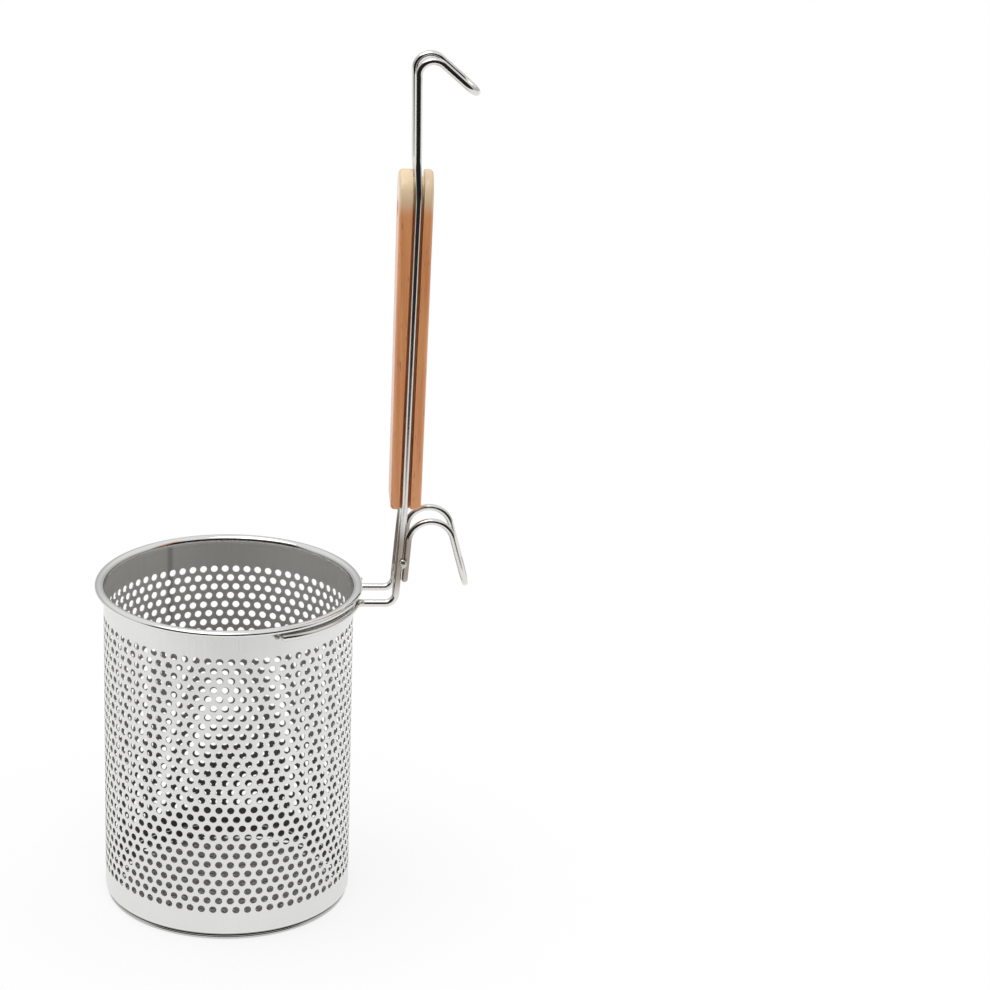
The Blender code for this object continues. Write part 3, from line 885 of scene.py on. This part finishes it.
def sheet_steel():
    """Rolled stainless sheet: satin, polished on the rim, seam ground; inside a duller tone with painted
    shade deepening towards the bottom, and painted shade in the groove, on the foot and along the seam.
    """
    make = Nodes("satin_sheet_steel")
    place = make.add("ShaderNodeTexCoord").outputs["Object"]
    centred = make.add("ShaderNodeVectorMath", operation="SUBTRACT")
    make.link(place, centred.inputs[0])
    centred.inputs[1].default_value = (AXIS_X, 0.0, 0.0)
    centred = centred.outputs["Vector"]
    parts = make.add("ShaderNodeSeparateXYZ")
    make.link(centred, parts.inputs[0])
    height = parts.outputs["Z"]
    from_axis = make.add("ShaderNodeVectorMath", operation="LENGTH")
    make.link(make.scaled(centred, (1.0, 1.0, 0.0)), from_axis.inputs[0])
    middle = BODY_RADIUS - SHEET / 2
    # Inner faces: a duller tone that is partly painted shade of the basket's interior.
    inside = make.remap(from_axis.outputs["Value"], middle, BODY_RADIUS - 0.00008, 1.0, 0.0)
    rim = make.remap(height, BEAD_HEIGHT - 0.0012, BEAD_HEIGHT - 0.0006, 0.0, 1.0)
    below_rim = make.math("SUBTRACT", 1.0, rim)
    above_foot = make.remap(height, FOOT_CORNER * 2, GROOVE_TOP - 0.0002, 0.0, 1.0)
    below_curl = make.remap(height, BEAD_HEIGHT - 0.0003, BEAD_HEIGHT, 1.0, 0.0)
    inside = make.math("MULTIPLY", make.math("MULTIPLY", inside, below_curl), above_foot)
    edge = make.remap(height, BODY_BOTTOM + 0.0006, BODY_BOTTOM + 0.0012, 1.0, 0.0)
    outermost = make.remap(from_axis.outputs["Value"], PAN_RADIUS - 0.0021, PAN_RADIUS - 0.0016, 0.0, 1.0)
    edge = make.math("MULTIPLY", edge, outermost)
    upright = make.scaled(place, (1.0, 1.0, 0.03))
    lines = make.noise(upright, 700.0, 4.0, 0.6)
    waves = make.noise(upright, 350.0, 1.0, 0.5)
    clouds = make.noise(place, 26.0, 3.0, 0.5)
    # Seam mask: shapes the ground weld's slight hollow (bump) and its painted shade band.
    seam_out = (math.cos(SEAM_ANGLE), math.sin(SEAM_ANGLE), 0.0)
    seam_along = (-math.sin(SEAM_ANGLE), math.cos(SEAM_ANGLE), 0.0)
    aside = make.math("ABSOLUTE", make.dot(centred, seam_along))
    near = make.remap(aside, 0.0006, 0.0026, 1.0, 0.0, smooth=True)
    this_side = make.remap(make.dot(centred, seam_out), 0.0, 0.01, 0.0, 1.0)
    seam = make.math("MULTIPLY", make.math("MULTIPLY", near, this_side), below_rim)
    light = make.mix(lines, (0.745, 0.745, 0.735, 1.0), (0.785, 0.785, 0.77, 1.0))
    stained = make.mix(make.remap(clouds, 0.35, 0.75, 0.0, 0.12), light, (0.66, 0.655, 0.64, 1.0))
    # Inner colour: darker grey than outside, partly painted shade of the interior, with painted shade
    # deepening towards the bottom and over the floor.
    inner_tone_and_painted_shade = make.mix(lines, (0.50, 0.49, 0.465, 1.0), (0.58, 0.57, 0.545, 1.0))
    painted_shade_low_down = make.remap(height, 0.09, 0.17, 0.62, 0.0, smooth=True)
    inner_tone_and_painted_shade = make.mix(painted_shade_low_down, inner_tone_and_painted_shade, (0.20, 0.19, 0.17, 1.0))
    coloured = make.mix(inside, stained, inner_tone_and_painted_shade)
    # Painted shadow: the groove between the wall's lower edge and the foot ring is coloured near black,
    # standing in for the shade in that recess.
    set_back = make.remap(from_axis.outputs["Value"], PAN_RADIUS - 0.0006, PAN_RADIUS - 0.0002, 1.0, 0.0)
    above_ring = make.remap(height, 0.0024, 0.0026, 0.0, 1.0)
    under_shoulder = make.remap(height, 0.0034, 0.0038, 1.0, 0.0)
    groove = make.math("MULTIPLY", set_back, make.math("MULTIPLY", above_ring, under_shoulder))
    coloured = make.mix(groove, coloured, (0.03, 0.03, 0.03, 1.0))
    # Painted shade: the lower part of the foot ring is a darker grey, standing in for the shadowed table
    # that it mirrors.
    foot = make.remap(height, FOOT_CORNER * 2 - 0.0004, FOOT_CORNER * 2, 1.0, 0.0)
    coloured = make.mix(foot, coloured, (0.56, 0.56, 0.55, 1.0))
    # Painted shade: the band along the seam is coloured darker, standing in for the shade of its slight
    # hollow.
    coloured = make.mix(make.math("MULTIPLY", seam, 0.75), coloured, (0.30, 0.29, 0.28, 1.0))
    make.link(coloured, make.shader.inputs["Base Color"])
    cloudy = make.remap(clouds, 0.3, 0.7, -0.02, 0.03)
    rough = make.math("ADD", make.remap(lines, 0.3, 0.75, 0.27, 0.33), cloudy)
    polished = make.math("MAXIMUM", rim, edge)
    finish = make.add("ShaderNodeMix", data_type="FLOAT")
    make.link(polished, finish.inputs["Factor"])
    make.link(rough, finish.inputs["A"])
    finish.inputs["B"].default_value = 0.12
    make.link(finish.outputs["Result"], make.shader.inputs["Roughness"])
    relief = make.math("MULTIPLY", waves, below_rim)
    relief = make.math("SUBTRACT", relief, make.math("MULTIPLY", seam, 6.0))
    make.bump(relief, 0.000003)
    make.shader.inputs["Metallic"].default_value = 1.0
    return make.material


def wire_steel():
    """Bright wire with faint lines along it, darker and browner on the rising wires round the pot hook's
    welds.
    """
    make = Nodes("polished_wire_steel")
    along = make.add("ShaderNodeUVMap", uv_map="along_wire").outputs["UV"]
    drawn = make.noise(make.scaled(along, (18.0, 30.0, 1.0)), 1.0, 3.0, 0.6)
    blotches = make.noise(make.scaled(along, (60.0, 3.0, 1.0)), 1.0, 2.0, 0.5)
    place = make.add("ShaderNodeSeparateXYZ")
    make.link(make.add("ShaderNodeTexCoord").outputs["Object"], place.inputs[0])
    # A darker, browner band on the rising wires round the pot hook's welds.
    darker_band = make.math("ABSOLUTE", make.math("SUBTRACT", place.outputs["Z"], DARK_BAND_HEIGHT))
    darker_band = make.remap(darker_band, 0.008, 0.024, 0.85, 0.0, smooth=True)
    at_rise = make.remap(place.outputs["X"], AXIS_X + 0.0965, AXIS_X + 0.0985, 1.0, 0.0)
    darker_band = make.math("MULTIPLY", darker_band, at_rise)
    bare = make.mix(drawn, (0.70, 0.69, 0.66, 1.0), (0.77, 0.76, 0.73, 1.0))
    make.link(make.mix(darker_band, bare, (0.27, 0.22, 0.175, 1.0)), make.shader.inputs["Base Color"])
    rough = make.math(
        "ADD", make.remap(drawn, 0.3, 0.7, 0.12, 0.15), make.remap(blotches, 0.4, 0.7, 0.0, 0.03)
    )
    make.link(rough, make.shader.inputs["Roughness"])
    make.shader.inputs["Metallic"].default_value = 1.0
    return make.material


def weld_steel():
    """Weld metal: duller and uneven, with straw and grey heat colours."""
    make = Nodes("weld_metal")
    place = make.add("ShaderNodeTexCoord").outputs["Object"]
    patches = make.noise(place, 500.0, 3.0, 0.6)
    grains = make.noise(place, 2600.0, 3.0, 0.6)
    patchy = make.remap(patches, 0.4, 0.65, 0.0, 1.0)
    tint = make.mix(patchy, (0.68, 0.67, 0.64, 1.0), (0.52, 0.47, 0.39, 1.0))
    make.link(tint, make.shader.inputs["Base Color"])
    make.link(make.remap(grains, 0.3, 0.7, 0.22, 0.45), make.shader.inputs["Roughness"])
    make.bump(grains, 0.00006)
    make.shader.inputs["Metallic"].default_value = 1.0
    return make.material


def hidden_steel():
    """The wire inside the rim, seen only through the gap under the curl."""
    make = Nodes("core_wire_steel")
    place = make.add("ShaderNodeTexCoord").outputs["Object"]
    mottled = make.noise(place, 400.0, 3.0, 0.6)
    coloured = make.mix(mottled, (0.45, 0.45, 0.44, 1.0), (0.6, 0.6, 0.58, 1.0))
    make.link(coloured, make.shader.inputs["Base Color"])
    make.link(make.remap(mottled, 0.3, 0.7, 0.3, 0.5), make.shader.inputs["Roughness"])
    make.shader.inputs["Metallic"].default_value = 1.0
    return make.material


def grip_wood():
    """Honey-brown hardwood: grain along the grip, growth bands, fibres and short dark pores."""
    make = Nodes("honey_wood")
    place = make.add("ShaderNodeTexCoord").outputs["Object"]
    stretched = make.scaled(place, (1.0, 1.0, 0.05))
    bend = make.noise(stretched, 55.0, 2.0, 0.5)
    bands = make.math("SINE", make.math("MULTIPLY", bend, 75.0))
    bands = make.remap(bands, -1.0, 1.0, 0.0, 1.0, smooth=True)
    fibres = make.noise(make.scaled(place, (1.0, 1.0, 0.012)), 2200.0, 3.0, 0.65)
    pores = make.noise(make.scaled(place, (1.0, 1.0, 0.10)), 1500.0, 2.0, 0.5)
    pores = make.remap(pores, 0.63, 0.72, 0.0, 1.0, smooth=True)
    tone = make.mix(bands, (0.84, 0.335, 0.125, 1.0), (0.72, 0.262, 0.088, 1.0))
    tone = make.mix(make.remap(fibres, 0.3, 0.7, 0.0, 0.5), tone, (0.93, 0.47, 0.20, 1.0))
    patches = make.noise(make.scaled(place, (1.0, 1.0, 0.3)), 70.0, 2.0, 0.5)
    tone = make.mix(make.remap(patches, 0.45, 0.75, 0.0, 0.35), tone, (0.70, 0.22, 0.068, 1.0))
    tone = make.mix(make.math("MULTIPLY", pores, 0.55), tone, (0.22, 0.075, 0.022, 1.0))
    height = make.add("ShaderNodeSeparateXYZ")
    make.link(place, height.inputs[0])
    # Painted highlight: the grip's crown is coloured pale cream, standing in for the overhead light's
    # sheen on it.
    crown_painted_highlight = make.remap(height.outputs["Z"], 0.387, 0.399, 0.0, 0.75, smooth=True)
    tone = make.mix(crown_painted_highlight, tone, (0.93, 0.80, 0.54, 1.0))
    make.link(tone, make.shader.inputs["Base Color"])
    rough = make.math("ADD", make.remap(fibres, 0.3, 0.7, 0.36, 0.5), make.math("MULTIPLY", pores, 0.15))
    make.link(rough, make.shader.inputs["Roughness"])
    relief = make.math("SUBTRACT", make.math("MULTIPLY", fibres, 0.5), pores)
    make.bump(relief, 0.00004)
    make.shader.inputs["Coat Weight"].default_value = 0.6
    make.shader.inputs["Coat Roughness"].default_value = 0.18
    return make.material


# ---------------------------------------------------------------- stage


def build_world():
    """A white studio with a dark room in front, below the lamps, that the steel mirrors."""
    world = bpy.data.worlds.new("studio")
    bpy.context.scene.world = world
    world.use_nodes = True
    tree = world.node_tree
    tree.nodes.clear()

    def add(kind, **settings):
        node = tree.nodes.new(kind)
        for key, value in settings.items():
            setattr(node, key, value)
        return node

    def ramp(value, low, high, start, end):
        node = add("ShaderNodeMapRange", clamp=True, interpolation_type="SMOOTHSTEP")
        tree.links.new(value, node.inputs["Value"])
        for key, number in zip(RANGE_SOCKETS, (low, high, start, end)):
            node.inputs[key].default_value = number
        return node.outputs["Result"]

    def multiply(first, second):
        node = add("ShaderNodeMath", operation="MULTIPLY")
        tree.links.new(first, node.inputs[0])
        tree.links.new(second, node.inputs[1])
        return node.outputs[0]

    direction = add("ShaderNodeTexCoord").outputs["Generated"]
    parts = add("ShaderNodeSeparateXYZ")
    tree.links.new(direction, parts.inputs[0])
    level_part = add("ShaderNodeMapping")
    tree.links.new(direction, level_part.inputs["Vector"])
    level_part.inputs["Scale"].default_value = (1.0, 1.0, 0.0)
    heading = add("ShaderNodeVectorMath", operation="NORMALIZE")
    tree.links.new(level_part.outputs["Vector"], heading.inputs[0])
    heading_parts = add("ShaderNodeSeparateXYZ")
    tree.links.new(heading.outputs["Vector"], heading_parts.inputs[0])
    low_down = ramp(parts.outputs["Z"], 0.58, 0.74, 1.0, 0.0)
    in_front = ramp(heading_parts.outputs["Y"], -0.46, -0.12, 1.0, 0.0)
    dark = multiply(low_down, in_front)
    side_low = ramp(parts.outputs["Z"], 0.15, 0.65, 1.0, 0.0)
    level = add("ShaderNodeMix", data_type="FLOAT")
    tree.links.new(side_low, level.inputs["Factor"])
    level.inputs["A"].default_value = 1.15
    level.inputs["B"].default_value = 0.66
    shade = add("ShaderNodeMix", data_type="FLOAT")
    tree.links.new(dark, shade.inputs["Factor"])
    tree.links.new(level.outputs["Result"], shade.inputs["A"])
    shade.inputs["B"].default_value = 0.02
    lit = add("ShaderNodeBackground")
    tree.links.new(shade.outputs["Result"], lit.inputs["Strength"])
    seen = add("ShaderNodeBackground")
    seen.inputs["Color"].default_value = (1.0, 1.0, 1.0, 1.0)
    rays = add("ShaderNodeLightPath")
    choice = add("ShaderNodeMixShader")
    tree.links.new(rays.outputs["Is Camera Ray"], choice.inputs[0])
    tree.links.new(lit.outputs[0], choice.inputs[1])
    tree.links.new(seen.outputs[0], choice.inputs[2])
    output = add("ShaderNodeOutputWorld")
    tree.links.new(choice.outputs[0], output.inputs["Surface"])


def build_floor():
    """A plain pale table top, ending in front of the strainer, that glows except under the basket."""
    front, back, side = -0.66, 6.0, 5.0
    mesh = bpy.data.meshes.new("table_top")
    corners = [(-side, front, 0.0), (side, front, 0.0), (side, back, 0.0), (-side, back, 0.0)]
    mesh.from_pydata(corners, [], [(0, 1, 2, 3)])
    make = Nodes("pale_table")
    place = make.add("ShaderNodeTexCoord").outputs["Object"]
    distance = make.add("ShaderNodeVectorMath", operation="DISTANCE")
    make.link(place, distance.inputs[0])
    distance.inputs[1].default_value = (AXIS_X, 0.0, 0.0)
    beyond_foot = make.remap(distance.outputs["Value"], PAN_RADIUS - 0.012, PAN_RADIUS - 0.006, 0.0, 0.80)
    far = make.remap(distance.outputs["Value"], 0.08, 0.24, 0.0, 0.20, smooth=True)
    far = make.math("ADD", beyond_foot, far)
    paper = make.noise(place, 300.0, 3.0, 0.5)
    coloured = make.mix(paper, (0.90, 0.90, 0.90, 1.0), (0.93, 0.93, 0.93, 1.0))
    make.link(coloured, make.shader.inputs["Base Color"])
    make.shader.inputs["Roughness"].default_value = 0.9
    make.shader.inputs["Specular IOR Level"].default_value = 0.1
    glow = make.add("ShaderNodeEmission")
    glow.inputs["Color"].default_value = (1.0, 1.0, 1.0, 1.0)
    blend = make.add("ShaderNodeMixShader")
    make.link(far, blend.inputs[0])
    make.link(make.shader.outputs[0], blend.inputs[1])
    make.link(glow.outputs[0], blend.inputs[2])
    output = make.tree.nodes["Material Output"]
    make.link(blend.outputs[0], output.inputs["Surface"])
    mesh.materials.append(make.material)
    table = bpy.data.objects.new("table_top", mesh)
    bpy.context.scene.collection.objects.link(table)


def build_wood_light():
    """A soft light from the front that only matt surfaces answer, for the wooden grip."""
    lamp = bpy.data.lights.new("for_wood", "AREA")
    lamp.size = 0.5
    lamp.energy = 2.2
    light = bpy.data.objects.new("for_wood", lamp)
    light.location = (0.25, -1.1, 0.75)
    aim = (GRIP_LOW + GRIP_HIGH) / 2 - light.location
    light.rotation_euler = aim.to_track_quat("-Z", "Y").to_euler()
    light.visible_glossy = False
    bpy.context.scene.collection.objects.link(light)


def build_light():
    """One broad soft light overhead, a little to the front left."""
    lamp = bpy.data.lights.new("overhead", "AREA")
    lamp.shape = "RECTANGLE"
    lamp.size = 1.2
    lamp.size_y = 0.9
    lamp.energy = 9.0
    light = bpy.data.objects.new("overhead", lamp)
    light.location = (AXIS_X - 0.35, -0.25, 1.7)
    aim = Vector((AXIS_X, 0.0, 0.15)) - light.location
    light.rotation_euler = aim.to_track_quat("-Z", "Y").to_euler()
    bpy.context.scene.collection.objects.link(light)


def build_camera():
    """A long lens, looking down on the basket with the handle to its right."""
    forward = Vector(
        (
            math.sin(CAMERA_YAW) * math.cos(CAMERA_PITCH),
            math.cos(CAMERA_YAW) * math.cos(CAMERA_PITCH),
            -math.sin(CAMERA_PITCH),
        )
    )
    level = Vector((math.cos(CAMERA_YAW), -math.sin(CAMERA_YAW), 0.0))
    upright = level.cross(forward)
    right = level * math.cos(CAMERA_ROLL) + upright * math.sin(CAMERA_ROLL)
    up = upright * math.cos(CAMERA_ROLL) - level * math.sin(CAMERA_ROLL)
    data = bpy.data.cameras.new("camera")
    data.lens = CAMERA_LENS
    data.sensor_width = 36.0
    data.clip_start = 0.05
    data.clip_end = 50.0
    camera = bpy.data.objects.new("camera", data)
    camera.location = Vector(CAMERA_PLACE) + Vector((AXIS_X, 0.0, 0.0))
    camera.rotation_euler = Matrix((right, up, -forward)).transposed().to_euler()
    bpy.context.scene.collection.objects.link(camera)
    bpy.context.scene.camera = camera


def build_strainer():
    """Adds every visual piece."""
    steel = sheet_steel()
    wire = wire_steel()
    weld = weld_steel()
    new_piece("strainer_wall", wall_mesh(), "basket_wall", steel)
    new_piece("strainer_floor", floor_mesh(), "floor_pan", steel)
    handle = tube_mesh("bent_handle_wire", handle_wire_route(), WIRE_RADIUS)
    new_piece("bent_handle_wire", handle, "handle_wire", wire)
    hook = tube_mesh("pot_hook_wire", pot_hook_route(), POT_WIRE_RADIUS)
    new_piece("pot_hook_wire", hook, "pot_hook", wire)
    new_piece("wooden_grip", grip_mesh(), "wood_handle", grip_wood())
    for kind, swell, lift in (
        ("rim_weld", 1.0, 0.0),
        ("wire_end_tack", 0.75, TACK_LIFT),
        ("pot_hook_weld", 1.0, 0.0),
    ):
        for side in ("front", "rear"):
            node = kind + "_" + side
            name = node + "_bead"
            new_piece(name, weld_mesh(name, node, swell, lift), node, weld)
    new_piece("wire_in_rim", core_mesh(), "rim_core_wire", hidden_steel())


build_camera()
build_world()
build_floor()
build_light()
build_wood_light()
build_strainer()
bpy.context.scene.view_settings.view_transform = "Standard"
